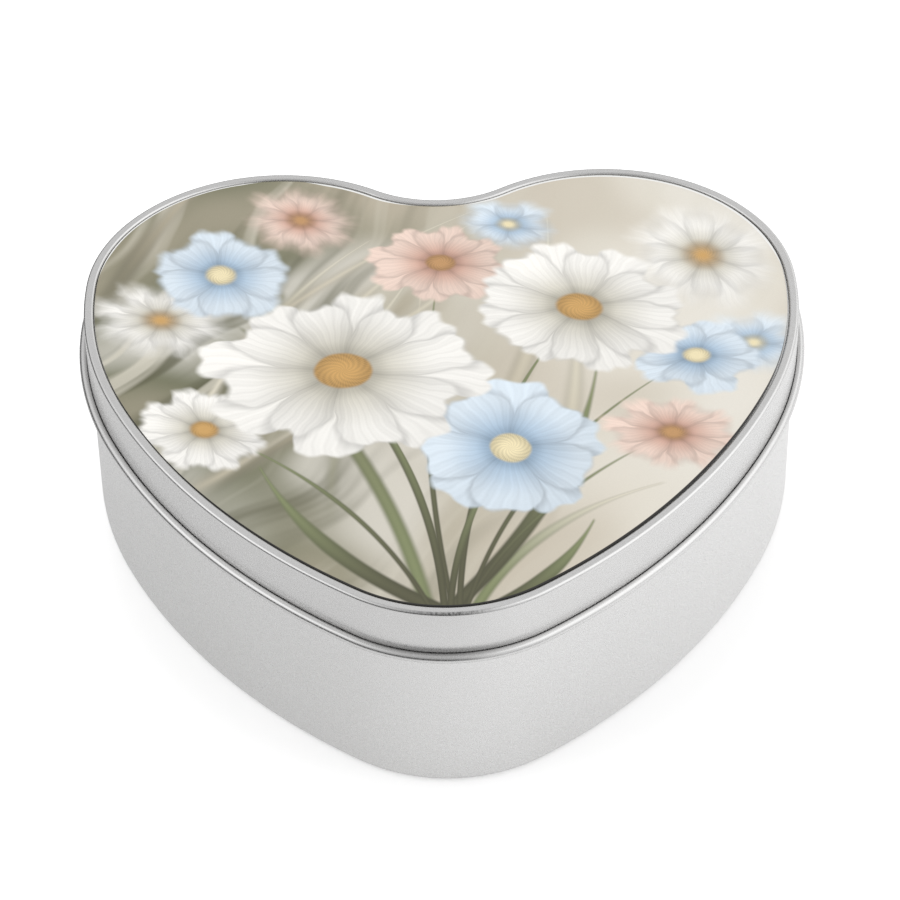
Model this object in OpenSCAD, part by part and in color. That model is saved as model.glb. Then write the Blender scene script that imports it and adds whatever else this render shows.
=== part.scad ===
// Heart-shaped gift tin: a drawn base, a slip-on lid, and a printed plate bonded into the lid's recess.
// The outline is a closed chain of tangent arcs, so each wall is the same outline moved in or out.
// Heights start at the ring that the tin stands on, and the heart's tip points to the front, -Y.

/* [Heart outline] */
// Width across the base wall
heart_w = 160; // [140:1:190]
// Radius of the shoulder below each lobe
shoulder_r = 92; // [75:1:110]
// Radius of the round tip
tip_r = 35.5; // [26:0.1:46]
// Radius of the cleft between the lobes
cleft_r = 27.5; // [16:0.5:40]
// Direction in which the lobe turns into the cleft
cleft_a = 122.6; // [116:0.1:130]
// Direction in which the lobe turns into the shoulder
shoulder_a = 3.3; // [0:0.1:10]
// Direction in which the shoulder turns into the flank
flank_a = -24.6; // [-30:0.1:-18]
// Direction in which the flank turns into the tip
tip_a = -56.2; // [-60:0.1:-52]

/* [Tinplate] */
// Thickness of the drawn sheet
sheet = 0.28; // [0.2:0.01:0.4]
// Slit between a rolled edge and the wall that it rolls back to
curl_slit = 0.15; // [0.05:0.01:0.25]

/* [Base] */
// Height of the base to the top of its rolled edge
base_h = 48.45; // [35:0.05:80]
// Outer radius of the corner between wall and bottom
base_corner_r = 2; // [1:0.1:4]
// Width of the ring that the tin stands on, from the wall
foot_ring_w = 7; // [5:0.1:12]
// Height that the bottom panel is pressed up inside that ring
panel_rise = 1.2; // [1.1:0.05:2]
// Inner radius of the two bends of that step
panel_step_r = 0.3; // [0.15:0.05:0.3]
// Outer radius of the inward roll at the base's top edge
hem_r = 0.9; // [0.7:0.05:1.1]

/* [Lid] */
// Running gap between the base wall and the lid's skirt
lid_gap = 0.3; // [0.2:0.05:0.6]
// Drop from the lid panel to the top of the base's rolled edge
seat_gap = 0.05; // [0:0.05:0.4]
// Depth of the lid from the rim down to the curl's underside
lid_h = 12.9; // [8:0.1:25]
// Width of the raised rim around the recess
rim_w = 2.2; // [1.6:0.1:4]
// Height of the rim above the lid panel
rim_rise = 1; // [0.9:0.05:2]
// Radius of the rim's outer edge
rim_outer_r = 0.7; // [0.45:0.05:0.9]
// Radius of the rim's inner edge
rim_inner_r = 0.5; // [0.42:0.01:0.6]
// Radius of the corner between the recess wall and the panel
recess_r = 0.2; // [0.1:0.05:0.25]
// Outer radius of the outward curl at the lid's lower edge
curl_r = 1.05; // [0.8:0.05:1.4]

/* [Printed plate] */
// Thickness of the printed plate
plate_t = 0.5; // [0.3:0.05:0.8]
// Gap between the plate's edge and the recess wall
plate_gap = 0.3; // [0.25:0.05:1]
// How far the plate lies off centre to the right
plate_shift_x = -0.1; // [-0.15:0.05:0.15]
// How far the plate lies off centre to the back
plate_shift_y = 0.15; // [-0.15:0.05:0.15]
// Thickness of the bonding film under the plate
bond_t = 0.1; // [0.05:0.05:0.2]
// How far the film stays back from the plate's edge
bond_inset = 0.5; // [0.3:0.1:3]

/* [Hidden] */
$fn = 96;

// Unit vector in the given direction.
function toward(a) = [cos(a), sin(a)];

// Where two arcs meet, both their centres and the meeting point lie on one line. The lobe takes the
// radius that puts the cleft's centre on x = 0, and the flank the radius that puts the tip's there.
shoulder_x = heart_w / 2 - shoulder_r;
lobe_r = (shoulder_x + shoulder_r * cos(shoulder_a) + cleft_r * cos(cleft_a))
    / (cos(shoulder_a) - cos(cleft_a));
flank_r = (shoulder_x + shoulder_r * cos(flank_a) - tip_r * cos(tip_a)) / (cos(flank_a) - cos(tip_a));

// Centres of the arcs, with the lobes' centres on y = 0.
lobe_c = [shoulder_x + (shoulder_r - lobe_r) * cos(shoulder_a), 0];
shoulder_c = lobe_c - (shoulder_r - lobe_r) * toward(shoulder_a);
flank_c = shoulder_c - (flank_r - shoulder_r) * toward(flank_a);
tip_c = flank_c + (flank_r - tip_r) * toward(tip_a);
cleft_c = lobe_c + (lobe_r + cleft_r) * toward(cleft_a);

// Brings the middle of the outline, front to back, to y = 0.
centre_shift_y = -(lobe_r + tip_c.y - tip_r) / 2;

// Offsets from the outside of the base wall.
skirt_out = lid_gap + sheet;
recess_wall = skirt_out - rim_w;
recess_x = recess_wall - recess_r;
plate_edge = recess_wall - plate_gap;
step_x = -foot_ring_w - 2 * panel_step_r - sheet;

// Heights.
lid_panel_z = base_h + seat_gap;
lid_panel_top = lid_panel_z + sheet;
rim_top = lid_panel_top + rim_rise;
curl_z = rim_top - lid_h + curl_r;
plate_z = lid_panel_top + bond_t;

// Width of a flat panel's swept margin, which its straight-edged fill overlaps by half.
margin_w = 6;
fill_steps = 4;

// Points along one arc, without its last, which is the next arc's first.
function arc_points(centre, radius, from, to) =
    [for (k = [0:fill_steps - 1]) centre + radius * toward(from + (to - from) * k / fill_steps)];

// Points of the right half of the outline, from the tip to the cleft, moved out by edge.
function right_points(edge) = concat(
    arc_points(tip_c, tip_r + edge, -90, tip_a),
    arc_points(flank_c, flank_r + edge, tip_a, flank_a),
    arc_points(shoulder_c, shoulder_r + edge, flank_a, shoulder_a),
    arc_points(lobe_c, lobe_r + edge, shoulder_a, cleft_a),
    arc_points(cleft_c, cleft_r - edge, cleft_a - 180, -90));

function mirrored(points) = [for (k = [len(points) - 1:-1:0]) [-points[k].x, points[k].y]];

// Moves in two steps, hundredths and then the rest, so that neighbouring arcs meet to the last digit.
module place(p) {
    coarse = [round(p.x * 100) / 100, round(p.y * 100) / 100];
    translate(coarse) translate(p - coarse) children();
}

// Sweeps a profile, drawn with x outward from the base wall and y up, along one arc.
module outer_arc(centre, radius, from, to)
    place(centre) rotate_extrude(start = from, angle = to - from) place([radius, 0]) children();

// The cleft's centre is outside the heart, so the profile is turned round.
module cleft_arc()
    place(cleft_c) rotate_extrude(start = -cleft_a, angle = 2 * cleft_a - 180)
        place([cleft_r, 0]) mirror([1, 0]) children();

// Sweeps a profile all the way around the heart.
module around_heart() {
    outer_arc(tip_c, tip_r, -180 - tip_a, tip_a) children();
    for (side = [0, 1]) mirror([side, 0, 0]) {
        outer_arc(flank_c, flank_r, tip_a, flank_a) children();
        outer_arc(shoulder_c, shoulder_r, flank_a, shoulder_a) children();
        outer_arc(lobe_c, lobe_r, shoulder_a, cleft_a) children();
    }
    cleft_arc() children();
}

// Fills the middle of a flat panel whose swept margin runs inward from the given offset.
module fill(edge, z, thick) {
    half = right_points(edge - margin_w / 2);
    translate([0, 0, z]) linear_extrude(thick) polygon(concat(half, mirrored(half)));
}

// Flat heart-shaped plate whose edge lies at the given offset.
module heart_plate(edge, z, thick) {
    around_heart() translate([edge - margin_w, z]) square([margin_w, thick]);
    fill(edge, z, thick);
}

// Bent strip of sheet in a profile: a ring of the given outer radius, between two directions.
module bend(centre, radius, from, to) {
    wedge_r = 3 * radius;
    wedge_steps = 4;
    wedge = [for (k = [0:wedge_steps]) wedge_r * toward(from + (to - from) * k / wedge_steps)];
    translate(centre) intersection() {
        difference() {
            circle(radius);
            circle(radius - sheet);
        }
        polygon(concat([[0, 0]], wedge));
    }
}

// Straight strips of sheet in a profile.
module upright(x, from, to) translate([x, from]) square([sheet, to - from]);

module level(y, from, to) translate([from, y]) square([to - from, sheet]);

// Base profile: pressed-up panel, standing ring, corner, wall and inward roll.
module base_profile() {
    step_r = panel_step_r + sheet;
    hem_z = base_h - hem_r;
    hem_end = 360 - acos((hem_r - sheet - curl_slit) / hem_r);
    level(panel_rise, step_x - margin_w, step_x);
    bend([step_x, panel_rise - panel_step_r], step_r, 0, 90);
    upright(-foot_ring_w - step_r, step_r, panel_rise - panel_step_r);
    bend([-foot_ring_w, step_r], step_r, 180, 270);
    level(0, -foot_ring_w, -base_corner_r);
    bend([-base_corner_r, base_corner_r], base_corner_r, -90, 0);
    upright(-sheet, base_corner_r, hem_z);
    bend([-hem_r, hem_z], hem_r, 0, hem_end);
}

// Lid profile: recessed panel, recess wall, rim, skirt and outward curl.
module lid_profile() {
    curl_end = 360 + acos((curl_slit + sheet - curl_r) / curl_r);
    level(lid_panel_z, recess_x - margin_w, recess_x);
    bend([recess_x, lid_panel_top + recess_r], recess_r + sheet, -90, 0);
    upright(recess_wall, lid_panel_top + recess_r, rim_top - rim_inner_r);
    bend([recess_wall + rim_inner_r, rim_top - rim_inner_r], rim_inner_r, 90, 180);
    level(rim_top - sheet, recess_wall + rim_inner_r, skirt_out - rim_outer_r);
    bend([skirt_out - rim_outer_r, rim_top - rim_outer_r], rim_outer_r, 0, 90);
    upright(lid_gap, curl_z, rim_top - rim_outer_r);
    bend([lid_gap + curl_r, curl_z], curl_r, 180, curl_end);
}

module base_shell() color("silver") translate([0, centre_shift_y, 0]) {
    around_heart() base_profile();
    fill(step_x, panel_rise, sheet);
}

module lid_shell() color("silver") translate([0, centre_shift_y, 0]) {
    around_heart() lid_profile();
    fill(recess_x, lid_panel_z, sheet);
}

module bond_film() color("white") translate([plate_shift_x, centre_shift_y + plate_shift_y, 0])
    heart_plate(plate_edge - bond_inset, lid_panel_top, bond_t);

module print_plate() color("darkkhaki") translate([plate_shift_x, centre_shift_y + plate_shift_y, 0])
    heart_plate(plate_edge, plate_z, plate_t);

base_shell();
lid_shell();
bond_film();
print_plate();
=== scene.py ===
"""Looks of the heart-shaped gift tin: satin tinplate skins, a printed lid plate, and a white studio."""

import math
import random

import bpy
import numpy as np
from mathutils import Matrix, Vector


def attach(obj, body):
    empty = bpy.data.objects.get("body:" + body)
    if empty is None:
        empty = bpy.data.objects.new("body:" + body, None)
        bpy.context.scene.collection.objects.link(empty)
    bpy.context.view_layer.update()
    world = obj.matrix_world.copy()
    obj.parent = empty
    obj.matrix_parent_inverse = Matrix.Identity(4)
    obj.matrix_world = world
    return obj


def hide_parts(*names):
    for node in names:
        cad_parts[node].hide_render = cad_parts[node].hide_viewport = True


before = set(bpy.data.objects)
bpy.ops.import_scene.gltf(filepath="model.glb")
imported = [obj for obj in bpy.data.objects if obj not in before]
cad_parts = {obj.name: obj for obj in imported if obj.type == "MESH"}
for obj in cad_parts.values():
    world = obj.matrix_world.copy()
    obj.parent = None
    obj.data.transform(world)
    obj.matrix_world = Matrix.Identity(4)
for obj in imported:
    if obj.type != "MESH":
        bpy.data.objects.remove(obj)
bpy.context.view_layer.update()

# Sizes are in millimetres, as in the part's source, and become metres where a mesh is made.
MM = 0.001

# Heart outline: a closed chain of tangent arcs.
HEART_W = 160
SHOULDER_R = 92
TIP_R = 35.5
CLEFT_R = 27.5
CLEFT_A = 122.6
SHOULDER_A = 3.3
FLANK_A = -24.6
TIP_A = -56.2

# Tinplate.
SHEET = 0.28
CURL_SLIT = 0.15

# Base.
BASE_H = 48.45
BASE_CORNER_R = 2
FOOT_RING_W = 7
PANEL_RISE = 1.2
PANEL_STEP_R = 0.3
HEM_R = 0.9

# Lid.
LID_GAP = 0.3
SEAT_GAP = 0.05
LID_H = 12.9
RIM_W = 2.2
RIM_RISE = 1
RIM_OUTER_R = 0.7
RIM_INNER_R = 0.5
RECESS_R = 0.2
CURL_R = 1.05

# Printed plate.
PLATE_T = 0.5
PLATE_GAP = 0.3
PLATE_SHIFT = (-0.1, 0.15)
PLATE_EDGE_R = 0.12
# Pale border of painted highlight along the back edge, and dark border of painted shade along the front.
GLINT_W = 0.6
GLINT_LEFT_W = 0.35
SHADE_W = 0.36
BORDER_BLUR = 0.1
# Gaps in the pale border of painted highlight, at the cleft and on top of the left lobe: from the middle of
# the gap, how far the border is missing and where it is whole again.
CLEFT_GAP = 3
CLEFT_WHOLE = 12
LEFT_TOP_X = -36
LEFT_TOP_GAP = 4
LEFT_TOP_WHOLE = 10
# How far the edge faces back or front where a border starts, and how much further where it is whole.
GLINT_FACING = 0.05
DARK_FACING_LEFT = 0.5
DARK_FACING_RIGHT = 0.25
FACING_SPAN = 0.3
# Half width of the stretch around the tip where drawing has strained the rim.
STRAIN_W = 7
BOND_T = 0.1

# Mesh fineness: length of a step around the heart, turn of a step in a bend, width of a panel's margin.
AROUND_STEP = 1.1
BEND_STEP = 12
MARGIN_W = 6


# Heart outline

def toward(angle):
    return np.array([math.cos(math.radians(angle)), math.sin(math.radians(angle))])


def cos_deg(angle):
    return math.cos(math.radians(angle))


def heart_arcs():
    """Arcs of the heart, counterclockwise from the left of the tip: centre, radius, from, to, and side.
    Side is 1 where the heart lies on the arc's inside, and -1 in the cleft."""
    shoulder_x = HEART_W / 2 - SHOULDER_R
    lobe_r = (shoulder_x + SHOULDER_R * cos_deg(SHOULDER_A) + CLEFT_R * cos_deg(CLEFT_A)) / (
        cos_deg(SHOULDER_A) - cos_deg(CLEFT_A))
    flank_r = (shoulder_x + SHOULDER_R * cos_deg(FLANK_A) - TIP_R * cos_deg(TIP_A)) / (
        cos_deg(FLANK_A) - cos_deg(TIP_A))
    lobe_c = np.array([shoulder_x + (SHOULDER_R - lobe_r) * cos_deg(SHOULDER_A), 0])
    shoulder_c = lobe_c - (SHOULDER_R - lobe_r) * toward(SHOULDER_A)
    flank_c = shoulder_c - (flank_r - SHOULDER_R) * toward(FLANK_A)
    tip_c = flank_c + (flank_r - TIP_R) * toward(TIP_A)
    cleft_c = lobe_c + (lobe_r + CLEFT_R) * toward(CLEFT_A)
    right = [(flank_c, flank_r, TIP_A, FLANK_A, 1),
             (shoulder_c, SHOULDER_R, FLANK_A, SHOULDER_A, 1),
             (lobe_c, lobe_r, SHOULDER_A, CLEFT_A, 1)]
    left = [(c * (-1, 1), r, 180 - to, 180 - start, side) for c, r, start, to, side in reversed(right)]
    tip = (tip_c, TIP_R, -180 - TIP_A, TIP_A, 1)
    cleft = (cleft_c, CLEFT_R, CLEFT_A - 180, -CLEFT_A, -1)
    middle_y = (lobe_r + tip_c[1] - TIP_R) / 2
    arcs = [tip, *right, cleft, *left]
    return [(c - (0, middle_y), r, start, to, side) for c, r, start, to, side in arcs]


def sample_heart():
    """Arc centres, radii, directions and sides at even steps around the heart."""
    rows = []
    for centre, radius, start, to, side in heart_arcs():
        steps = math.ceil(math.radians(abs(to - start)) * radius / AROUND_STEP)
        for k in range(steps):
            rows.append([*centre, radius, *toward(start + (to - start) * k / steps), side])
    table = np.array(rows)
    return table[:, 0:2], table[:, 2], table[:, 3:5], table[:, 5]


ARC_CENTRE, ARC_RADIUS, ARC_TOWARD, ARC_SIDE = sample_heart()
AROUND = len(ARC_RADIUS)
OUTWARD = ARC_TOWARD * ARC_SIDE[:, None]


def heart_ring(offset):
    """Points around the heart, moved outward by offset."""
    return ARC_CENTRE + ARC_TOWARD * (ARC_RADIUS + ARC_SIDE * offset)[:, None]


# Sheet profiles, drawn with x outward from the base wall and z up

class Sheet:
    """Bent sheet drawn by a moving pen: runs straight, or turns with the sheet's middle at a radius."""

    def __init__(self, x, z):
        self.at = np.array([x, z], float)
        self.heading = 0.0
        self.stations = []
        self.mark(0)

    def mark(self, strain):
        self.stations.append((self.at.copy(), self.heading, strain))

    def straight(self, length):
        self.at = self.at + length * toward(self.heading)
        self.mark(0)

    def turn(self, radius, angle, strain=0):
        """Turns left by a positive angle and right by a negative one. The radius is the outer one."""
        side = math.copysign(1, angle)
        middle = radius - SHEET / 2
        centre = self.at + side * middle * toward(self.heading + 90)
        steps = max(3, math.ceil(abs(angle) / BEND_STEP))
        start = self.heading
        for k in range(1, steps + 1):
            self.heading = start + angle * k / steps
            self.at = centre - side * middle * toward(self.heading + 90)
            self.mark(strain * math.sin(math.pi * k / steps))

    def face(self, side):
        """One face of the sheet, 1 for its left and -1 for its right: place, normal and strain."""
        rows = []
        for at, heading, strain in self.stations:
            normal = side * toward(heading + 90)
            rows.append((at + SHEET / 2 * normal, normal, strain))
        return rows

    def strokes(self):
        """The sheet's left face out, its cut end, and its right face back."""
        left = self.face(1)
        right = self.face(-1)[::-1]
        end = toward(self.stations[-1][1])
        cut = [(left[-1][0], end, 0), (right[0][0], end, 0)]
        return [left, cut, right]


def base_sheet():
    """Pressed-up panel, standing ring, corner, wall and inward roll."""
    step_r = PANEL_STEP_R + SHEET
    step_x = -FOOT_RING_W - 2 * PANEL_STEP_R - SHEET
    hem_turn = 360 - math.degrees(math.acos((HEM_R - SHEET - CURL_SLIT) / HEM_R))
    sheet = Sheet(step_x - MARGIN_W, PANEL_RISE + SHEET / 2)
    sheet.straight(MARGIN_W)
    sheet.turn(step_r, -90)
    sheet.straight(PANEL_RISE - PANEL_STEP_R - step_r)
    sheet.turn(step_r, 90)
    sheet.straight(FOOT_RING_W - BASE_CORNER_R)
    sheet.turn(BASE_CORNER_R, 90)
    sheet.straight(BASE_H - HEM_R - BASE_CORNER_R)
    sheet.turn(HEM_R, hem_turn)
    return sheet


def lid_sheet():
    """Recessed panel, recess wall, rim, skirt and outward curl."""
    recess_wall = LID_GAP + SHEET - RIM_W
    curl_turn = 180 + math.degrees(math.acos((CURL_SLIT + SHEET - CURL_R) / CURL_R))
    sheet = Sheet(recess_wall - RECESS_R - MARGIN_W, BASE_H + SEAT_GAP + SHEET / 2)
    sheet.straight(MARGIN_W)
    sheet.turn(RECESS_R + SHEET, 90)
    sheet.straight(RIM_RISE - RECESS_R - RIM_INNER_R)
    sheet.turn(RIM_INNER_R, -90)
    sheet.straight(RIM_W - RIM_INNER_R - RIM_OUTER_R)
    sheet.turn(RIM_OUTER_R, -90, strain=1)
    sheet.straight(LID_H - RIM_OUTER_R - CURL_R)
    sheet.turn(CURL_R, curl_turn)
    return sheet


def plate_strokes():
    """Top face with a softened edge, side and underside of the printed plate."""
    edge = LID_GAP + SHEET - RIM_W - PLATE_GAP
    low = BASE_H + SEAT_GAP + SHEET + BOND_T
    high = low + PLATE_T
    centre = np.array([edge - PLATE_EDGE_R, high - PLATE_EDGE_R])
    top = [(np.array([edge - MARGIN_W, high]), toward(90), 0)]
    for angle in (90, 67.5, 45, 22.5, 0):
        top.append((centre + PLATE_EDGE_R * toward(angle), toward(angle), 0))
    side = [(top[-1][0], toward(0), 0), (np.array([edge, low]), toward(0), 0)]
    under = [(side[-1][0], toward(-90), 0), (np.array([edge - MARGIN_W, low]), toward(-90), 0)]
    return [top, side, under]


# Meshes

def add_values(mesh, name, values):
    """Stores one number for each point of the mesh."""
    mesh.attributes.new(name, "FLOAT", "POINT").data.foreach_set("value", np.asarray(values, np.float32))


def sweep(name, strokes, shift=(0, 0)):
    """Closed skin that takes a profile around the heart, with flat faces over its two inner ends.
    Normals come from the profile, so the bends stay smooth and the flats stay flat."""
    points = [strokes[0][0]]
    spans = []
    for stroke in strokes:
        for here, there in zip(stroke, stroke[1:]):
            spans.append((len(points) - 1, here[1], there[1]))
            points.append(there)
    rings = [heart_ring(at[0]) + shift for at, _, _ in points]
    verts = [np.column_stack([ring, np.full(AROUND, at[1])]) for ring, (at, _, _) in zip(rings, points)]
    near = np.arange(AROUND)
    far = np.roll(near, -1)
    lengths = np.cumsum([0] + [np.linalg.norm(b[0] - a[0]) for a, b in zip(points, points[1:])])
    faces, normals, uvs = [], [], []
    for k, start, stop in spans:
        first, second = k * AROUND, (k + 1) * AROUND
        faces.append(np.column_stack([first + near, second + near, second + far, first + far]))
        lean = [np.column_stack([OUTWARD * n[0], np.full(AROUND, n[1])]) for n in (start, stop)]
        normals.append(np.stack([lean[0], lean[1], lean[1][far], lean[0][far]], axis=1))
        u = near * AROUND_STEP
        uv = [np.column_stack([u + du, np.full(AROUND, lengths[k + dv])])
              for du, dv in ((0, 0), (0, 1), (AROUND_STEP, 1), (AROUND_STEP, 0))]
        uvs.append(np.stack(uv, axis=1))
    quads = np.concatenate(faces)
    last = (len(points) - 1) * AROUND
    caps = [near.tolist(), (last + near[::-1]).tolist()]
    all_verts = np.concatenate(verts)
    cap_normals = [np.tile((0.0, 0.0, z), (AROUND, 1)) for z in (1, -1)]
    cap_uvs = [all_verts[cap][:, :2] for cap in caps]
    mesh = bpy.data.meshes.new(name)
    mesh.from_pydata((all_verts * MM).tolist(), [], quads.tolist() + caps, shade_flat=False)
    layer = mesh.uv_layers.new(name="sheet")
    flat_uvs = np.concatenate([np.concatenate(uvs).reshape(-1, 2), *cap_uvs]) * MM
    layer.uv.foreach_set("vector", flat_uvs.astype(np.float32).ravel())
    tight = np.exp(-(heart_ring(0)[:, 0] / STRAIN_W) ** 2) * (OUTWARD[:, 1] < 0)
    add_values(mesh, "strain", np.concatenate([strain * tight for _, _, strain in points]))
    widest = max(at[0] for at, _, _ in points)
    add_values(mesh, "inset", np.repeat([widest - at[0] for at, _, _ in points], AROUND))
    flat_normals = np.concatenate([np.concatenate(normals).reshape(-1, 3), *cap_normals])
    mesh.normals_split_custom_set(flat_normals.tolist())
    piece = bpy.data.objects.new(name, mesh)
    bpy.context.scene.collection.objects.link(piece)
    return piece


# Shader graphs

RIGHT = (1.0, 0.0, 0.0)
BACK = (0.0, 1.0, 0.0)
FRONT = (0.0, -1.0, 0.0)
UP = (0.0, 0.0, 1.0)
# Factor that throws a sine's digits about.
CHANCE_SPREAD = 4375.85


class Graph:
    """Short calls that add nodes to a tree and link them."""

    def __init__(self, tree):
        self.tree = tree
        tree.nodes.clear()

    def put(self, socket, value):
        if isinstance(value, bpy.types.NodeSocket):
            self.tree.links.new(value, socket)
        else:
            socket.default_value = value

    def add(self, kind, inputs=None, **settings):
        node = self.tree.nodes.new(kind)
        for key, value in settings.items():
            setattr(node, key, value)
        for key, value in (inputs or {}).items():
            self.put(node.inputs[key], value)
        return node

    def math(self, operation, *values):
        return self.add("ShaderNodeMath", dict(enumerate(values)), operation=operation).outputs[0]

    def vector(self, operation, *values):
        node = self.add("ShaderNodeVectorMath", dict(enumerate(values)), operation=operation)
        return node.outputs["Value" if operation in ("LENGTH", "DOT_PRODUCT") else "Vector"]

    def dot(self, vector, axis):
        return self.vector("DOT_PRODUCT", vector, axis)

    def scaled(self, vector, scale):
        inputs = {"Vector": vector, "Scale": scale}
        return self.add("ShaderNodeVectorMath", inputs, operation="SCALE").outputs["Vector"]

    def turned(self, vector, angle):
        """The vector turned about z."""
        inputs = {"Vector": vector, "Angle": angle}
        return self.add("ShaderNodeVectorRotate", inputs, rotation_type="Z_AXIS").outputs[0]

    def joined(self, x, y, z):
        return self.add("ShaderNodeCombineXYZ", {"X": x, "Y": y, "Z": z}).outputs[0]

    def chance(self, value):
        """Number from -0.5 to 0.5 that looks drawn by lot for each value."""
        spread = self.math("MULTIPLY", self.math("SINE", value), CHANCE_SPREAD)
        return self.math("SUBTRACT", self.math("FRACT", spread), 0.5)

    def ease(self, value, start, stop, low=0.0, high=1.0):
        """Smooth step of a value from low at start to high at stop."""
        inputs = {"Value": value, "From Min": start, "From Max": stop, "To Min": low, "To Max": high}
        node = self.add("ShaderNodeMapRange", inputs, interpolation_type="SMOOTHSTEP", clamp=False)
        return node.outputs["Result"]

    def within(self, value, edge, blur):
        """1 where a value is under the edge and 0 past it, with a change as soft as the blur."""
        start = self.math("SUBTRACT", edge, blur)
        stop = self.math("ADD", edge, blur)
        return self.ease(value, start, stop, 1.0, 0.0)

    def blend(self, factor, first, second):
        """Mix of two colours, which are plain vectors in these graphs."""
        inputs = {0: factor, 4: first, 5: second}
        return self.add("ShaderNodeMix", inputs, data_type="VECTOR").outputs[1]

    def pick(self, factor, first, second):
        """Mix of two numbers."""
        inputs = {0: factor, 2: first, 3: second}
        return self.add("ShaderNodeMix", inputs, data_type="FLOAT").outputs[0]

    def noise(self, vector, scale, detail=2.0, roughness=0.5):
        inputs = {"Vector": vector, "Scale": scale, "Detail": detail, "Roughness": roughness}
        return self.add("ShaderNodeTexNoise", inputs).outputs["Fac"]

    def place(self):
        """Place on the piece, in metres."""
        return self.add("ShaderNodeTexCoord").outputs["Object"]

    def stored(self, name):
        """Number that the mesh stores under the name."""
        return self.add("ShaderNodeAttribute", attribute_name=name).outputs["Fac"]

    def bump(self, height, strength, distance):
        inputs = {"Height": height, "Strength": strength, "Distance": distance}
        return self.add("ShaderNodeBump", inputs).outputs["Normal"]

    def surface(self, shader):
        """Ends a material with its shader."""
        out = self.add("ShaderNodeOutputMaterial")
        self.put(out.inputs["Surface"], shader.outputs[0])


def colour(red, green, blue):
    """Colour from 8-bit display values, as the light that they stand for."""
    def light(level):
        share = level / 255
        return share / 12.92 if share <= 0.04045 else ((share + 0.055) / 1.055) ** 2.4
    return (light(red), light(green), light(blue))


def material(name):
    made = bpy.data.materials.new(name)
    made.use_nodes = True
    return made, Graph(made.node_tree)


# Steps, here and below, are what Graph.ease takes after the value: from, to, and what these lead to.
# Painted shade in the slit between the lid's skirt and its curl: where it comes in, in curl radii from the
# lid's outside, how near the skirt it ends, over what height it comes in, and how dark it is.
SLIT_SPAN = (0.75, 1.3)
SLIT_END = (0.02, 0.14)
SLIT_RISE = 0.3
SLIT_SHADE = 0.15
# Tinplate: waves per metre of its grain, clouds, draw marks and wrinkles, and how far the last two are
# drawn out up the sheet.
GRAIN_SCALE = 3000
GRAIN_ROUGHNESS = 0.6
CLOUD_SCALE = 30
MARK_SCALE = 1400
MARK_STRETCH = (1.0, 0.04, 1.0)
WRINKLE_SCALE = 1900
WRINKLE_STRETCH = (1.0, 0.35, 1.0)
# What these do to its tone, darkening around the tip, roughness and height.
GRAIN_TONE = 0.85
CLOUD_TONE = 0.15
TONE_STEP = (0.3, 0.7)
TIP_DARK_STEP = (0.38, 0.62, 0.25, 0.75)
ROUGH_STEP = (0.3, 0.7, 0.22, 0.30)
MARK_ROUGH = 0.02
MARK_HEIGHT = 0.4
WRINKLE_HEIGHT = 8.0
TIN_BUMP = 0.045
TIN_BUMP_DEPTH = 0.00005
# Dark and light of its grain, on the base and on the lid; the lid's are a little darker as painted shade.
BASE_TONES = (colour(221, 220, 219), colour(228, 228, 228))
SHADED_LID_TONES = (colour(214, 213, 212), colour(221, 221, 221))


def painted_slit_shade(g, place):
    """Painted shade in the slit between the lid's skirt and its curl, on the curl's side of it."""
    curl_z = BASE_H + SEAT_GAP + SHEET + RIM_RISE - LID_H + CURL_R
    skirt = 2 * CURL_R - SHEET
    height = g.dot(place, (0.0, 0.0, 1 / MM))
    inset = g.stored("inset")
    inner = g.ease(inset, *(share * CURL_R for share in SLIT_SPAN))
    off_skirt = g.ease(inset, *(skirt - near for near in SLIT_END))
    inward = g.math("MULTIPLY", inner, off_skirt)
    return g.math("MULTIPLY", inward, g.ease(height, curl_z, curl_z + SLIT_RISE))


def tinplate(name, tones, slit_shade=None):
    """Satin tinplate: fine grain all over, faint draw marks up the walls, wrinkles in a strained rim, a
    darker colour around the tip, and painted shade in a slit where one is given.
    """
    made, g = material(name)
    place = g.place()
    around = g.add("ShaderNodeUVMap", uv_map="sheet").outputs["UV"]
    strain = g.stored("strain")
    grain = g.noise(place, GRAIN_SCALE, roughness=GRAIN_ROUGHNESS)
    clouds = g.noise(place, CLOUD_SCALE)
    marks = g.noise(g.vector("MULTIPLY", around, MARK_STRETCH), MARK_SCALE)
    wrinkles = g.noise(g.vector("MULTIPLY", around, WRINKLE_STRETCH), WRINKLE_SCALE, 1.0)
    tone = g.math("ADD", g.math("MULTIPLY", grain, GRAIN_TONE), g.math("MULTIPLY", clouds, CLOUD_TONE))
    shade = g.blend(g.ease(tone, *TONE_STEP), *tones)
    # The rim's outer bend is darker around the tip, in speckles.
    tip_darkening = g.math("MULTIPLY", strain, g.ease(wrinkles, *TIP_DARK_STEP))
    shade = g.scaled(shade, g.math("SUBTRACT", 1.0, tip_darkening))
    # Painted shade: the curl darkens in the slit beside the skirt.
    if slit_shade:
        shade = g.scaled(shade, g.math("MULTIPLY_ADD", slit_shade(g, place), -SLIT_SHADE, 1.0))
    rough = g.math("ADD", g.ease(grain, *ROUGH_STEP), g.math("MULTIPLY", marks, MARK_ROUGH))
    height = g.math("MULTIPLY_ADD", marks, MARK_HEIGHT, grain)
    height = g.math("MULTIPLY_ADD", g.math("MULTIPLY", wrinkles, strain), WRINKLE_HEIGHT, height)
    bump = g.bump(height, TIN_BUMP, TIN_BUMP_DEPTH)
    g.surface(g.add("ShaderNodeBsdfPrincipled", {
        "Base Color": shade, "Metallic": 1.0, "Roughness": rough, "Normal": bump}))
    return made


# Printed design, in millimetres from the middle of the heart

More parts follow.
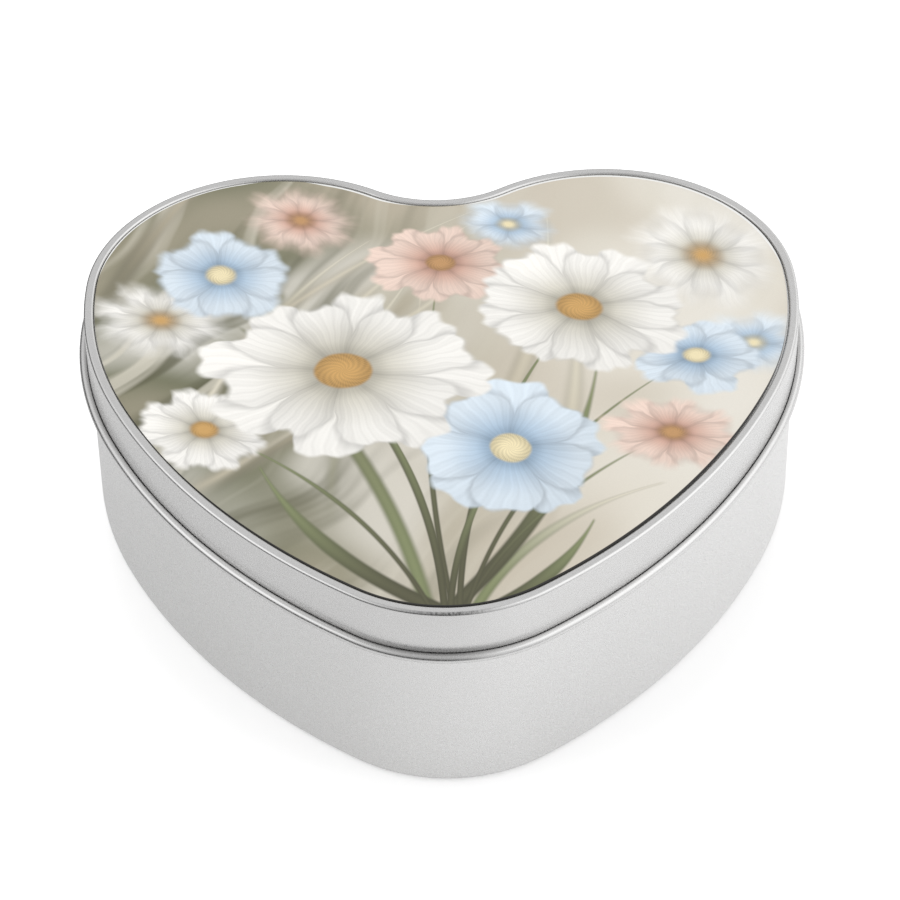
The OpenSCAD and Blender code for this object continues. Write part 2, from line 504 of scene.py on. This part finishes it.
# Petal, shade and heart colours of each kind of flower.
FLOWER_KINDS = {
    "white": (colour(252, 250, 245), colour(206, 201, 184), colour(208, 164, 98)),
    "blue": (colour(224, 236, 246), colour(164, 192, 218), colour(242, 228, 186)),
    "peach": (colour(242, 217, 203), colour(212, 164, 144), colour(196, 150, 100)),
}
# Flowers from back to front: kind, centre, size, squash, turn in degrees, petals, blur.
SOFT_FLOWERS = [
    ("white", (-63, 22), 15, 0.80, 20, 8, 0.34),
    ("white", (60, 42), 18, 0.85, 70, 8, 0.34),
    ("blue", (69, 10), 11, 0.90, 10, 5, 0.36),
    ("peach", (-32, 58), 13, 0.80, 40, 8, 0.32),
    ("blue", (16, 55), 11, 0.80, 25, 5, 0.30),
]
SHARP_FLOWERS = [
    ("peach", (49, -20), 15, 0.80, 15, 8, 0.16),
    ("white", (-52, -16), 16, 0.82, 30, 8, 0.09),
    ("blue", (-50, 38), 18, 0.88, 50, 5, 0.08),
    ("blue", (56, 6), 15, 0.86, 5, 5, 0.08),
    ("peach", (0, 41), 17, 0.86, 12, 8, 0.06),
    ("white", (31, 24), 26, 0.88, 33, 8, 0.045),
    ("blue", (14, -24), 24, 0.90, 62, 5, 0.035),
    ("white", (-22, 3), 32, 0.93, 8, 8, 0.03),
]
# Leaves and stems from back to front: foot, tip, bow, half width, blur, and colours of foot and tip.
STRAW = colour(216, 210, 192)
SAND = colour(188, 178, 156)
OLIVE = colour(122, 122, 92)
MOSS = colour(88, 87, 64)
LEAF = colour(130, 138, 98)
LEAVES = [
    ((-4, -77), (-46, 20), -7, 1.6, 0.8, LEAF, OLIVE),
    ((4, -77), (47, -36), 7, 1.3, 0.6, LEAF, STRAW),
    ((0, -74), (34, 4), -6, 1.8, 0.5, MOSS, LEAF),
    ((-2, -74), (-40, -28), 5, 1.9, 0.5, MOSS, LEAF),
    ((3, -77), (31, -47), -4, 1.7, 0.4, MOSS, LEAF),
]
STEMS = [
    ((2, -76), (49, -20), 6, 0.55, 0.4, MOSS, LEAF),
    ((-3, -76), (-52, -16), -7, 0.6, 0.35, MOSS, LEAF),
    ((3, -76), (56, 6), 9, 0.55, 0.3, MOSS, LEAF),
    ((-1, -76), (-50, 38), -12, 0.6, 0.3, MOSS, LEAF),
    ((1, -76), (0, 41), 4, 0.6, 0.25, MOSS, LEAF),
    ((2, -76), (31, 24), 7, 0.7, 0.22, MOSS, LEAF),
    ((0, -76), (14, -24), 3, 0.75, 0.2, MOSS, LEAF),
    ((-1, -76), (-22, 3), -5, 0.8, 0.2, MOSS, LEAF),
]
# Blurred blades behind: seed of their lot, how many, and the colours of foot and tip that they draw from.
GRASS_SEED = 11
GRASS_BLADES = 14
GRASS_COLOURS = [(MOSS, OLIVE), (OLIVE, STRAW), (SAND, STRAW), (STRAW, STRAW), (MOSS, SAND)]
# How soon a blurred blade and a sharp one come in from the foot, as shares of their length.
SOFT_FADE = 0.5
SHARP_FADE = 0.02
# Meadow: from left to right, its shaded and sunlit patches, and its dark and pale streaks.
MEADOW_LEFT = colour(116, 117, 91)
MEADOW_MIDDLE = colour(186, 178, 158)
MEADOW_RIGHT = colour(230, 224, 211)
PATCH_SHADED = colour(196, 184, 164)
PATCH_SUNLIT = colour(240, 236, 227)
STREAK_DARK = colour(94, 93, 68)
STREAK_PALE = colour(218, 213, 197)
# Plate: painted highlight along the back of its top, painted shade along the front of its top and on the
# front of its cut edge, and its cut edge elsewhere.
PAINTED_GLINT = colour(246, 246, 244)
EDGE_SHADE = colour(44, 42, 40)
EDGE_PALE = colour(226, 225, 222)
# Waves per metre of the print's grain, the coat's orange peel and the film's mottle.
PRINT_GRAIN_SCALE = 5200
PEEL_SCALE = 900
MOTTLE_SCALE = 700
PEEL_BUMP = 0.05
PEEL_BUMP_DEPTH = 0.0001
# Flower, with lengths as shares of its size: radius of its heart, and for each row of petals its turn in
# petals, its length and the seed of its lot.
FLOWER_HEART_R = 0.2
BACK_PETALS = (0.5, 1.0, 3.3)
FRONT_PETALS = (0.0, 0.88, 8.6)
# How far noise moves its ends and sides, waves of its veins, and arms and twist of the whorls in its heart.
RUFFLE = 0.22
SWIRL = 0.05
WIDE_VEINS = 44.0
FINE_VEINS = 97.0
RIGHT_WHORL = 21
LEFT_WHORL = -34
WHORL_TWIST = 60.0
# Where the light on a flower comes from, and where its shadow falls to.
FLOWER_LIGHT = (-0.5, 0.85, 0.0)
FLOWER_SHADOW = (-0.07, 0.12, 0.0)


def soft_grass():
    """Rows of blurred blades that lean with the wind, most of them at the left."""
    luck = random.Random(GRASS_SEED)
    rows = []
    for _ in range(GRASS_BLADES):
        foot = np.array([luck.uniform(-88, 16), luck.uniform(-62, 4)])
        tip = foot + luck.uniform(55, 100) * toward(luck.uniform(38, 82))
        low, high = luck.choice(GRASS_COLOURS)
        if tip[0] > 0:
            low, high = SAND, STRAW
        bow = luck.uniform(-12, 12)
        width = luck.uniform(1.0, 2.4)
        blur = luck.uniform(1.2, 2.4)
        rows.append((foot, tip, bow, width, blur, low, high))
    return rows


def new_group(name, inputs, outputs):
    """Empty node group: its tree, its graph, what it is given, and what it gives back."""
    tree = bpy.data.node_groups.new(name, "ShaderNodeTree")
    g = Graph(tree)
    for in_out, sockets in (("INPUT", inputs), ("OUTPUT", outputs)):
        for label, kind in sockets.items():
            tree.interface.new_socket(label, in_out=in_out, socket_type="NodeSocket" + kind)
    return tree, g, g.add("NodeGroupInput").outputs, g.add("NodeGroupOutput").inputs


def blossom_group():
    """Flower seen from above: two rows of petals around a stippled heart, and the shadow under it."""
    inputs = {"Spot": "Vector", "Centre": "Vector", "Size": "Float", "Squash": "Float",
              "Turn": "Float", "Petals": "Float", "Blur": "Float",
              "Petal": "Vector", "Shade": "Vector", "Heart": "Vector"}
    outputs = {"Colour": "Vector", "Cover": "Float", "Shadow": "Float"}
    tree, g, given, result = new_group("blossom", inputs, outputs)
    away = g.vector("SUBTRACT", given["Spot"], given["Centre"])
    away = g.scaled(away, g.math("DIVIDE", 1.0, given["Size"]))
    spun = g.turned(away, given["Turn"])
    across = g.dot(spun, RIGHT)
    along = g.math("DIVIDE", g.dot(spun, BACK), given["Squash"])
    flat = g.joined(across, along, given["Size"])
    ruffle = g.math("SUBTRACT", g.noise(flat, 2.6), 0.5)
    swirl = g.math("SUBTRACT", g.noise(g.scaled(flat, -1.0), 2.2), 0.5)
    reach = g.math("SQRT", g.math("MULTIPLY_ADD", across, across, g.math("MULTIPLY", along, along)))
    reach = g.math("MULTIPLY", reach, g.math("MULTIPLY_ADD", ruffle, RUFFLE, 1.0))
    around = g.math("DIVIDE", g.math("ARCTAN2", along, across), 2 * math.pi)
    around = g.math("MULTIPLY_ADD", swirl, SWIRL, around)
    light = g.math("MULTIPLY_ADD", g.dot(away, FLOWER_LIGHT), 0.08, 1.0)

    def petal_row(offset, length, seed):
        """Colour, cover and rim of one row of petals."""
        count = g.math("MULTIPLY_ADD", around, given["Petals"], offset)
        which = g.math("FLOORED_MODULO", g.math("FLOOR", count), given["Petals"])
        part = g.math("FRACT", count)
        edge = g.math("MULTIPLY", g.math("ABSOLUTE", g.math("SUBTRACT", part, 0.5)), 2.0)
        luck = g.chance(g.math("MULTIPLY_ADD", which, seed, given["Size"]))
        shoulders = g.math("POWER", edge, 3.0)
        notch = g.ease(edge, 0.0, 0.35, 0.06, 0.0)
        drop = g.math("MULTIPLY_ADD", shoulders, 0.5, notch)
        whole = g.math("MULTIPLY_ADD", luck, 0.14, 0.97)
        rim = g.math("MULTIPLY", g.math("SUBTRACT", whole, drop), length)
        cover = g.within(reach, rim, given["Blur"])
        wide_vein = g.math("SINE", g.math("MULTIPLY_ADD", part, WIDE_VEINS, which))
        bend = g.math("MULTIPLY", reach, 5.0)
        fine_vein = g.math("SINE", g.math("MULTIPLY_ADD", part, FINE_VEINS, bend))
        tone = g.math("MULTIPLY_ADD", wide_vein, 0.03, 0.98)
        tone = g.math("MULTIPLY_ADD", fine_vein, 0.02, tone)
        tone = g.math("MULTIPLY_ADD", luck, 0.12, tone)
        tone = g.math("MULTIPLY_ADD", g.math("POWER", edge, 2.0), -0.2, tone)
        tint = g.blend(g.ease(reach, 0.1, 0.75), given["Shade"], given["Petal"])
        return g.scaled(tint, g.math("MULTIPLY", tone, light)), cover, rim

    back, back_cover, _ = petal_row(*BACK_PETALS)
    front, front_cover, front_rim = petal_row(*FRONT_PETALS)
    under = g.ease(g.math("SUBTRACT", reach, front_rim), 0.0, 0.16, 0.74, 1.0)
    shade = g.blend(front_cover, g.scaled(back, under), front)
    shade = g.scaled(shade, g.ease(reach, 0.2, 0.36, 0.8, 1.0))
    twist = g.math("MULTIPLY", reach, WHORL_TWIST)
    right_whorl = g.math("SINE", g.math("MULTIPLY_ADD", around, RIGHT_WHORL * 2 * math.pi, twist))
    left_whorl = g.math("SINE", g.math("MULTIPLY_ADD", around, LEFT_WHORL * 2 * math.pi, twist))
    seeds = g.math("MULTIPLY", right_whorl, left_whorl)
    stipple = g.ease(seeds, -0.8, 0.8, 0.86, 1.1)
    dome = g.ease(reach, 0.06, FLOWER_HEART_R, 1.05, 0.75)
    heart_tone = g.math("MULTIPLY", stipple, dome)
    heart_blur = g.math("MULTIPLY", given["Blur"], 0.6)
    heart_cover = g.within(reach, FLOWER_HEART_R, heart_blur)
    shade = g.blend(heart_cover, shade, g.scaled(given["Heart"], heart_tone))
    fallen = g.vector("LENGTH", g.vector("ADD", away, FLOWER_SHADOW))
    g.put(result["Colour"], shade)
    g.put(result["Cover"], g.math("MAXIMUM", back_cover, front_cover))
    g.put(result["Shadow"], g.ease(fallen, 0.55, 1.3, 0.45, 0.0))
    return tree


def blade_group():
    """Bowed blade, leaf or stem that tapers to its tip."""
    inputs = {"Spot": "Vector", "Foot": "Vector", "Tip": "Vector", "Bow": "Float", "Width": "Float",
              "Blur": "Float", "Fade": "Float", "Low": "Vector", "High": "Vector"}
    tree, g, given, result = new_group("blade", inputs, {"Colour": "Vector", "Cover": "Float"})
    line = g.vector("SUBTRACT", given["Tip"], given["Foot"])
    length = g.vector("LENGTH", line)
    ahead = g.vector("NORMALIZE", line)
    aside = g.vector("CROSS_PRODUCT", UP, ahead)
    away = g.vector("SUBTRACT", given["Spot"], given["Foot"])
    along = g.math("DIVIDE", g.dot(away, ahead), length)
    arch = g.math("MULTIPLY", g.math("MULTIPLY", along, g.math("SUBTRACT", 1.0, along)), 4.0)
    side = g.math("SUBTRACT", g.dot(away, aside), g.math("MULTIPLY", arch, given["Bow"]))
    side = g.math("ABSOLUTE", side)
    half = g.math("MULTIPLY", given["Width"], g.ease(along, 0.45, 1.0, 1.0, 0.12))
    inside = g.math("MULTIPLY", g.ease(along, -0.01, given["Fade"]), g.ease(along, 0.97, 1.0, 1.0, 0.0))
    body = g.within(side, half, given["Blur"])
    round_tone = g.ease(g.math("DIVIDE", side, half), 0.0, 1.1, 1.08, 0.8)
    tint = g.blend(g.ease(along, 0.1, 0.9), given["Low"], given["High"])
    g.put(result["Colour"], g.scaled(tint, round_tone))
    g.put(result["Cover"], g.math("MULTIPLY", inside, body))
    return tree


def meadow(g, spot):
    """Out-of-focus grass: olive at the left, straw in the middle, bright sand at the right."""
    bow = g.math("MULTIPLY", g.math("SUBTRACT", g.noise(spot, 0.018, 1.0), 0.5), 30.0)
    bowed = g.vector("ADD", spot, g.joined(bow, g.math("MULTIPLY", bow, -0.6), 0.0))
    across = g.dot(bowed, RIGHT)

    def streaks(angle, length, width, seed):
        slant = g.turned(bowed, math.radians(angle))
        drawn = g.vector("MULTIPLY", slant, (1 / length, 1 / width, 0.0))
        return g.noise(g.vector("ADD", drawn, (seed, seed, seed)), 1.0, 2.0, 0.55)

    left = g.ease(across, -58, 34, 1.0, 0.0)
    ground = g.blend(g.ease(across, -50, 0), MEADOW_LEFT, MEADOW_MIDDLE)
    ground = g.blend(g.ease(across, -8, 40), ground, MEADOW_RIGHT)
    clouds = g.noise(spot, 0.022, 1.0)
    ground = g.blend(g.ease(clouds, 0.48, 0.68, 0.0, 0.5), ground, PATCH_SHADED)
    ground = g.blend(g.ease(clouds, 0.52, 0.34, 0.0, 0.6), ground, PATCH_SUNLIT)
    hollows = g.ease(streaks(-52, 110, 9, 7.7), 0.5, 0.7)
    dark = g.math("MULTIPLY", hollows, g.math("MULTIPLY", left, 0.85))
    stalks = g.ease(streaks(-62, 130, 7, 3.1), 0.5, 0.68)
    pale = g.math("MULTIPLY", stalks, g.ease(left, 0.0, 1.0, 0.15, 0.75))
    ground = g.blend(dark, ground, STREAK_DARK)
    return g.blend(pale, ground, STREAK_PALE)


def print_design():
    """Coated print: flowers in a soft meadow, with a painted highlight along the plate's back edge and
    painted shade along its front edge.
    """
    made, g = material("print_coated")
    place = g.place()
    spot = g.scaled(place, 1 / MM)
    shade = meadow(g, spot)
    blossom = blossom_group()
    blade = blade_group()

    def spot_over(shade):
        """The spot, tied to the layers below, so that one layer ends before the next starts."""
        tie = 1e-9
        return g.vector("ADD", spot, g.scaled(shade, tie))

    def lay_blade(shade, foot, tip, bow, width, blur, low, high, fade=SHARP_FADE):
        inputs = {"Spot": spot_over(shade), "Foot": (*foot, 0), "Tip": (*tip, 0), "Bow": bow,
                  "Width": width, "Blur": blur, "Fade": fade, "Low": low, "High": high}
        made_of = g.add("ShaderNodeGroup", inputs, node_tree=blade).outputs
        return g.blend(made_of["Cover"], shade, made_of["Colour"])

    def lay_flower(shade, kind, centre, size, squash, turn, petals, blur):
        petal, petal_shade, heart = FLOWER_KINDS[kind]
        inputs = {"Spot": spot_over(shade), "Centre": (*centre, 0), "Size": size, "Squash": squash,
                  "Turn": math.radians(turn), "Petals": petals, "Blur": blur,
                  "Petal": petal, "Shade": petal_shade, "Heart": heart}
        made_of = g.add("ShaderNodeGroup", inputs, node_tree=blossom).outputs
        dim = g.math("SUBTRACT", 1.0, made_of["Shadow"])
        return g.blend(made_of["Cover"], g.scaled(shade, dim), made_of["Colour"])

    for row in soft_grass():
        shade = lay_blade(shade, *row, fade=SOFT_FADE)
    for row in SOFT_FLOWERS:
        shade = lay_flower(shade, *row)
    for row in LEAVES + STEMS:
        shade = lay_blade(shade, *row)
    for row in SHARP_FLOWERS:
        shade = lay_flower(shade, *row)

    grain = g.noise(place, PRINT_GRAIN_SCALE, 1.0)
    shade = g.scaled(shade, g.ease(grain, 0.25, 0.75, 0.975, 1.025))
    inset = g.stored("inset")
    # Painted highlight: a pale border along the back edge. Painted shade: a dark border along the front
    # edge.
    for border, ink in (("glint", PAINTED_GLINT), ("dark", EDGE_SHADE)):
        past = g.math("SUBTRACT", inset, g.stored(border))
        shade = g.blend(g.ease(past, 0.0, BORDER_BLUR), ink, shade)
    facing = g.add("ShaderNodeNewGeometry").outputs["Normal"]
    upward = g.dot(facing, UP)
    backward = g.dot(facing, BACK)
    # Painted shade: the plate's cut edge is dark where it faces the front and pale elsewhere.
    cut = g.blend(g.ease(backward, -0.4, 0.0), EDGE_SHADE, EDGE_PALE)
    shade = g.blend(g.ease(upward, 0.55, 0.8), cut, shade)
    peel = g.noise(place, PEEL_SCALE)
    bump = g.bump(peel, PEEL_BUMP, PEEL_BUMP_DEPTH)
    g.surface(g.add("ShaderNodeBsdfPrincipled", {
        "Base Color": shade, "Roughness": g.ease(peel, 0.3, 0.7, 0.3, 0.36), "Normal": bump,
        "Specular IOR Level": 0.4}))
    return made


def bond():
    """Milky adhesive film."""
    made, g = material("bond_film_milky")
    mottle = g.noise(g.place(), MOTTLE_SCALE, 3.0)
    shade = g.blend(g.ease(mottle, 0.35, 0.65), colour(214, 212, 202), colour(232, 231, 226))
    g.surface(g.add("ShaderNodeBsdfPrincipled", {
        "Base Color": shade, "Roughness": g.ease(mottle, 0.3, 0.7, 0.45, 0.6)}))
    return made


# Studio

# Camera that sees the tin as the photograph does.
VIEW_ELEVATION = 40.816
VIEW_YAW = 0.572
VIEW_ROLL = 0.770
VIEW_DISTANCE = 832.87
VIEW_TARGET = (1.552, 32.765, 0)
LENS = 141.42
SENSOR = 36

# Soft lamps: name, place, side and surface brightness. Both point at the middle of the tin.
LAMPS = [
    ("right_side", (0.60, -0.06, 0.46), 0.85, 0.2),
    ("left_side", (-0.62, -0.03, 0.38), 0.55, 0.4),
]
LAMP_AIM = (0, 0, 0.02)

# Floor, in metres: its near left and far right corners, its height, and its shade under the lamps.
FLOOR_NEAR = -0.141
FLOOR_FAR = 0.50
FLOOR_Z = -0.0001
FLOOR_SHADE = (0.8, 0.8, 0.8, 1.0)
WHITE = (1, 1, 1, 1)
# Steps of its own light: what metal mirrors and what the eye sees, from left to right, and what the eye
# sees more of, away from the tin.
FLOOR_MIRRORED = (-0.12, 0.12, 0.06, 0.31)
FLOOR_SEEN = (-0.1, 0.1, 0.39, 0.345)
FLOOR_CLEAR = (0.070, 0.095, 0.0, 0.16)

# Even light of the world on dull surfaces.
SKY_SOFT = 0.92
# Steps of what metal mirrors of the world, up, to the front, to the right and to the left.
SKY_ABOVE = (0.05, 0.45, 0.06, 0.54)
SKY_RING = (0.20, 0.55, 0.0, 0.23)
SKY_RING_END = (0.97, 0.84)
SKY_FRONT = (0.10, 0.70, 1.0, 0.6)
SKY_BELOW = (-0.38, -0.10, 0.55, 0.0)
RIGHT_LEVEL = (0.0, 0.4, 0.8, 0.48)
RIGHT_FOOT = (-0.25, -0.08)
RIGHT_SIDE = (0.08, 0.42)
LEFT_SIDE = (-0.25, -0.65, 0.0, 0.2)
LEFT_FOOT = (0.10, 0.35)


def add_camera():
    data = bpy.data.cameras.new("photo_view")
    data.lens = LENS
    data.sensor_width = SENSOR
    rise, yaw, roll = (math.radians(a) for a in (VIEW_ELEVATION, VIEW_YAW, VIEW_ROLL))
    turn = Matrix.Rotation(-yaw, 3, "Z")
    ahead = turn @ Vector((0, math.cos(rise), -math.sin(rise)))
    right = turn @ Vector((1, 0, 0))
    up = turn @ Vector((0, math.sin(rise), math.cos(rise)))
    level = right * math.cos(roll) - up * math.sin(roll)
    upright = right * math.sin(roll) + up * math.cos(roll)
    camera = bpy.data.objects.new("photo_view", data)
    spot = Vector(VIEW_TARGET) - ahead * VIEW_DISTANCE
    axes = Matrix((level, upright, -ahead)).transposed()
    camera.matrix_world = Matrix.Translation(spot * MM) @ axes.to_4x4()
    bpy.context.scene.collection.objects.link(camera)
    bpy.context.scene.camera = camera


def add_lamp(name, spot, size, strength):
    """Square soft lamp, with its place and side in metres."""
    data = bpy.data.lights.new(name, "AREA")
    data.shape = "SQUARE"
    data.size = size
    data.energy = strength * math.pi * size * size
    lamp = bpy.data.objects.new(name, data)
    lamp.location = spot
    lamp.rotation_euler = (Vector(LAMP_AIM) - Vector(spot)).to_track_quat("-Z", "Y").to_euler()
    bpy.context.scene.collection.objects.link(lamp)


def seen_by_eye(path):
    """Outputs of Light Path that look straight at a surface, or through something clear."""
    return path["Is Camera Ray"], path["Is Transmission Ray"]


def add_floor():
    """White table top that reaches further to the right and back, and mirrors brighter at the right."""
    near, far = FLOOR_NEAR, FLOOR_FAR
    corners = [(x, y, FLOOR_Z) for x, y in ((near, near), (far, near), (far, far), (near, far))]
    mesh = bpy.data.meshes.new("floor")
    mesh.from_pydata(corners, [], [range(4)])
    floor = bpy.data.objects.new("floor", mesh)
    bpy.context.scene.collection.objects.link(floor)
    made, g = material("floor_white")
    path = g.add("ShaderNodeLightPath").outputs
    seen = g.math("MAXIMUM", *seen_by_eye(path))
    place = g.place()
    across = g.dot(place, RIGHT)
    mirrored = g.math("MULTIPLY", path["Is Glossy Ray"], g.ease(across, *FLOOR_MIRRORED))
    clear = g.ease(g.vector("LENGTH", place), *FLOOR_CLEAR)
    shown = g.math("ADD", g.ease(across, *FLOOR_SEEN), clear)
    glow = g.math("MULTIPLY_ADD", seen, shown, mirrored)
    lit = g.add("ShaderNodeBsdfDiffuse", {"Color": FLOOR_SHADE}).outputs[0]
    lamp = g.add("ShaderNodeEmission", {"Color": WHITE, "Strength": glow}).outputs[0]
    g.surface(g.add("ShaderNodeAddShader", {0: lit, 1: lamp}))
    floor.data.materials.append(made)


def add_world():
    """White to the eye. To metal, a dome over a dark horizon, bright at the sides and dim in front."""
    world = bpy.data.worlds.new("studio")
    bpy.context.scene.world = world
    world.use_nodes = True
    g = Graph(world.node_tree)
    sky = g.add("ShaderNodeTexCoord").outputs["Generated"]
    height = g.dot(sky, UP)
    rightward = g.dot(sky, RIGHT)
    forward = g.dot(sky, FRONT)
    above = g.ease(height, *SKY_ABOVE)
    ring = g.math("MULTIPLY", g.ease(height, *SKY_RING), g.ease(height, *SKY_RING_END))
    dome = g.math("MULTIPLY", g.math("ADD", above, ring), g.ease(forward, *SKY_FRONT))
    below = g.ease(height, *SKY_BELOW)
    right = g.math("MULTIPLY", g.ease(height, *RIGHT_LEVEL), g.ease(height, *RIGHT_FOOT))
    right = g.math("MULTIPLY", g.ease(rightward, *RIGHT_SIDE), right)
    left = g.math("MULTIPLY", g.ease(rightward, *LEFT_SIDE), g.ease(height, *LEFT_FOOT))
    level = g.math("ADD", g.math("ADD", dome, below), g.math("ADD", right, left))
    path = g.add("ShaderNodeLightPath").outputs
    seen = g.math("MAXIMUM", *seen_by_eye(path))
    soft = g.pick(path["Is Glossy Ray"], SKY_SOFT, level)
    strength = g.pick(seen, soft, 1.0)
    light = g.add("ShaderNodeBackground", {"Color": WHITE, "Strength": strength})
    out = g.add("ShaderNodeOutputWorld")
    g.put(out.inputs["Surface"], light.outputs[0])


def rising(values, start, whole):
    """Rises from 0 at start to 1 at whole, and stays between the two."""
    return np.clip((values - start) / (whole - start), 0, 1)


def mark_borders(plate):
    """Stores the widths of the plate's painted highlight border at the back and painted shade border at the
    front, at each of its points.
    Where there is none the width is below 0, so that nothing shows at the edge."""
    rings = len(plate.data.vertices) // AROUND
    x = heart_ring(0)[:, 0]
    backward = OUTWARD[:, 1]
    off_cleft = rising(np.abs(x), CLEFT_GAP, CLEFT_WHOLE)
    off_left_top = rising(np.abs(x - LEFT_TOP_X), LEFT_TOP_GAP, LEFT_TOP_WHOLE)
    back = rising(backward, GLINT_FACING, GLINT_FACING + FACING_SPAN) * off_cleft * off_left_top
    glint_w = np.where(x < LEFT_TOP_X, GLINT_LEFT_W, GLINT_W)
    dark_facing = np.where(x < 0, DARK_FACING_LEFT, DARK_FACING_RIGHT)
    front = rising(-backward, dark_facing, dark_facing + FACING_SPAN)
    add_values(plate.data, "glint", np.tile((glint_w + BORDER_BLUR) * back - BORDER_BLUR, rings))
    add_values(plate.data, "dark", np.tile((SHADE_W + BORDER_BLUR) * front - BORDER_BLUR, rings))


def dress(piece, finish, body, node):
    piece.data.materials.append(finish)
    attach(piece, body)
    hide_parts(node)


base_tin = tinplate("tinplate_base", BASE_TONES)
# The lid takes darker tones than the base as painted shade, and painted shade in its slit.
lid_tin = tinplate("tinplate_lid", SHADED_LID_TONES, painted_slit_shade)
dress(sweep("base_tin", base_sheet().strokes()), base_tin, "base", "base_shell")
dress(sweep("lid_tin", lid_sheet().strokes()), lid_tin, "lid", "lid_shell")
plate = sweep("picture_plate", plate_strokes(), PLATE_SHIFT)
mark_borders(plate)
dress(plate, print_design(), "lid", "print_plate")
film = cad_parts["bond_film"]
film.data.materials.clear()
film.data.materials.append(bond())

add_camera()
add_floor()
add_world()
for lamp in LAMPS:
    add_lamp(*lamp)
bpy.context.scene.view_settings.view_transform = "Standard"
